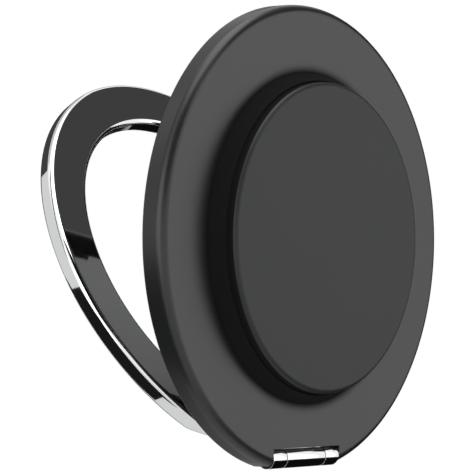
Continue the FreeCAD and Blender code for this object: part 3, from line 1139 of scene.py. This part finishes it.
@dataclass
class Studio:
    """The pale floor, the white surroundings, the lamps, the cards and the camera."""

    # The camera stands left of the disc and a little below its middle, and looks slightly past it.
    camera_azimuth: float = -54.10
    camera_elevation: float = -1.17
    camera_distance: float = 374.3 * MM
    camera_from: Vector = Vector((0, 3.5 * MM, 0))
    camera_target: Vector = Vector((-5.735 * MM, 11.213 * MM, -0.011 * MM))
    camera_roll: float = 0.64
    camera_lens: float = 211.85
    camera_near: float = 10 * MM
    # How strongly the white surroundings light the object.
    ambient: float = 0.58
    # The floor lies just below the ring when it hangs straight down.
    floor_level: float = -92 * MM
    floor_radius: float = 0.42
    floor_colour: str = "#e6e6e6"
    # The shares of its radius between which the floor fades out.
    fade_start: float = 0.35
    fade_end: float = 0.98

    def set_camera(self) -> None:
        """Put the camera at the photograph's viewing angle."""
        data = bpy.data.cameras.new("camera")
        data.lens = self.camera_lens
        data.clip_start = self.camera_near
        camera = bpy.data.objects.new("camera", data)
        stand = aim(self.camera_azimuth, self.camera_elevation, self.camera_distance)
        camera.location = self.camera_from + stand
        look = (self.camera_target - camera.location).to_track_quat("-Z", "Y")
        camera.rotation_mode = "QUATERNION"
        camera.rotation_quaternion = look @ Quaternion((0, 0, 1), math.radians(self.camera_roll))
        bpy.context.scene.collection.objects.link(camera)
        bpy.context.scene.camera = camera

    def set_world(self) -> None:
        """White to the eye and in gloss, and a soft even light on everything else."""
        world = bpy.data.worlds.new("studio")
        bpy.context.scene.world = world
        world.use_nodes = True
        tree = world.node_tree
        tree.nodes.clear()
        ray = add_node(tree, "ShaderNodeLightPath", {}).outputs
        seen = add_node(tree, "ShaderNodeMath", {
            0: ray["Is Camera Ray"], 1: ray["Is Glossy Ray"],
        }, operation="MAXIMUM").outputs["Value"]
        shown = add_node(tree, "ShaderNodeMath", {
            0: seen, 1: ray["Is Transmission Ray"],
        }, operation="MAXIMUM").outputs["Value"]
        white = linear("#ffffff")
        soft = add_node(tree, "ShaderNodeBackground", {"Color": white, "Strength": self.ambient})
        plain = add_node(tree, "ShaderNodeBackground", {"Color": white, "Strength": 1.0})
        mixed = add_node(tree, "ShaderNodeMixShader", {
            "Fac": shown, 1: soft.outputs["Background"], 2: plain.outputs["Background"],
        })
        add_node(tree, "ShaderNodeOutputWorld", {"Surface": mixed.outputs["Shader"]})

    def set_floor(self) -> None:
        """A round pale floor below the object, fading out towards its edge."""
        bm = bmesh.new()
        bmesh.ops.create_circle(
            bm, cap_ends=True, radius=self.floor_radius, segments=TURN_STEPS,
            matrix=Matrix.Translation((0, 0, self.floor_level)),
        )
        floor = as_object("floor", bm)
        material = empty_material("pale_floor")
        tree = material.node_tree
        place = add_node(tree, "ShaderNodeTexCoord", {}).outputs["Object"]
        fade = add_node(tree, "ShaderNodeMapRange", {
            "Value": axis_distance(tree, place, (1, 1, 0)),
            "From Min": self.floor_radius * self.fade_start,
            "From Max": self.floor_radius * self.fade_end,
        }, interpolation_type="SMOOTHSTEP")
        paint = add_node(tree, "ShaderNodeBsdfDiffuse", {"Color": linear(self.floor_colour)})
        clear = add_node(tree, "ShaderNodeBsdfTransparent", {})
        mixed = add_node(tree, "ShaderNodeMixShader", {
            "Fac": fade.outputs["Result"], 1: paint.outputs["BSDF"], 2: clear.outputs["BSDF"],
        })
        add_node(tree, "ShaderNodeOutputMaterial", {"Surface": mixed.outputs["Shader"]})
        floor.data.materials.append(material)

    def set_up(self) -> None:
        """Set the camera, the surroundings, the floor, the lamps and the cards."""
        bpy.context.scene.view_settings.view_transform = "Standard"
        self.set_camera()
        self.set_world()
        self.set_floor()
        for lamp in (
            SoftBox("key_lamp", azimuth=38, elevation=0, brightness=0.42, width=0.44, height=0.7),
            SoftBox("left_lamp", azimuth=-84, elevation=5, brightness=1.0, width=0.46, height=0.5),
            SoftBox("top_lamp", azimuth=0, elevation=80, brightness=1.5, width=0.6, height=0.6),
        ):
            lamp.set_up()
        # The cards give the chrome and the paint's gloss their light and dark areas.
        for card in (
            StandingCard("card_right", size=(0.52, 0.49), colour="#181818", azimuth=99, elevation=4),
            StandingCard("card_back_right", size=(0.61, 0.52), colour="#404040", azimuth=157, elevation=4),
            StandingCard("card_right_high", size=(0.62, 0.28), colour="#404040", azimuth=63, elevation=46),
            StandingCard("card_back_high", size=(0.42, 0.22), colour="#c8c8c8", azimuth=166, elevation=47),
            StandingCard("card_back_left", size=(0.46, 0.40), colour="#dcdcdc", azimuth=-146, elevation=10),
            StandingCard("card_front_high", size=(0.52, 0.38), colour="#0c0c0c", azimuth=-32, elevation=34),
            StandingCard("card_left_strip", size=(0.09, 0.70), colour="#0c0c0c", azimuth=-116, elevation=46),
            LyingCard("card_low_left", size=(0.376, 0.34), colour="#1a1a1a", middle=(-0.232, 0.15)),
            LyingCard("card_low_right", size=(0.24, 0.16), colour="#0c0c0c", middle=(0.125, 0.0), turn=47),
            LyingCard("card_below", size=(0.072, 0.06), colour="#dcdcdc", middle=(-0.006, 0.0)),
            LyingCard("card_behind_low", size=(0.10, 0.05), colour="#787878", middle=(0.008, 0.065)),
        ):
            card.set_up()


def main() -> None:
    """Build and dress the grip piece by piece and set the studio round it."""
    logging.basicConfig(level=logging.INFO, format="%(name)s: %(message)s")
    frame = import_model()
    sizes = GripSizes.read(frame)
    for assembly in (
        ContactPad(sizes), FootSkirt(sizes), FrontHousing(sizes), BackCover(sizes), HingeBracket(sizes),
        StandRing(sizes), InnerParts(frame["nodes"]),
    ):
        for piece in assembly.dress():
            LOG.info("%s: %d faces", piece.name, len(piece.data.polygons))
    Studio().set_up()


if __name__ == "__main__":
    main()
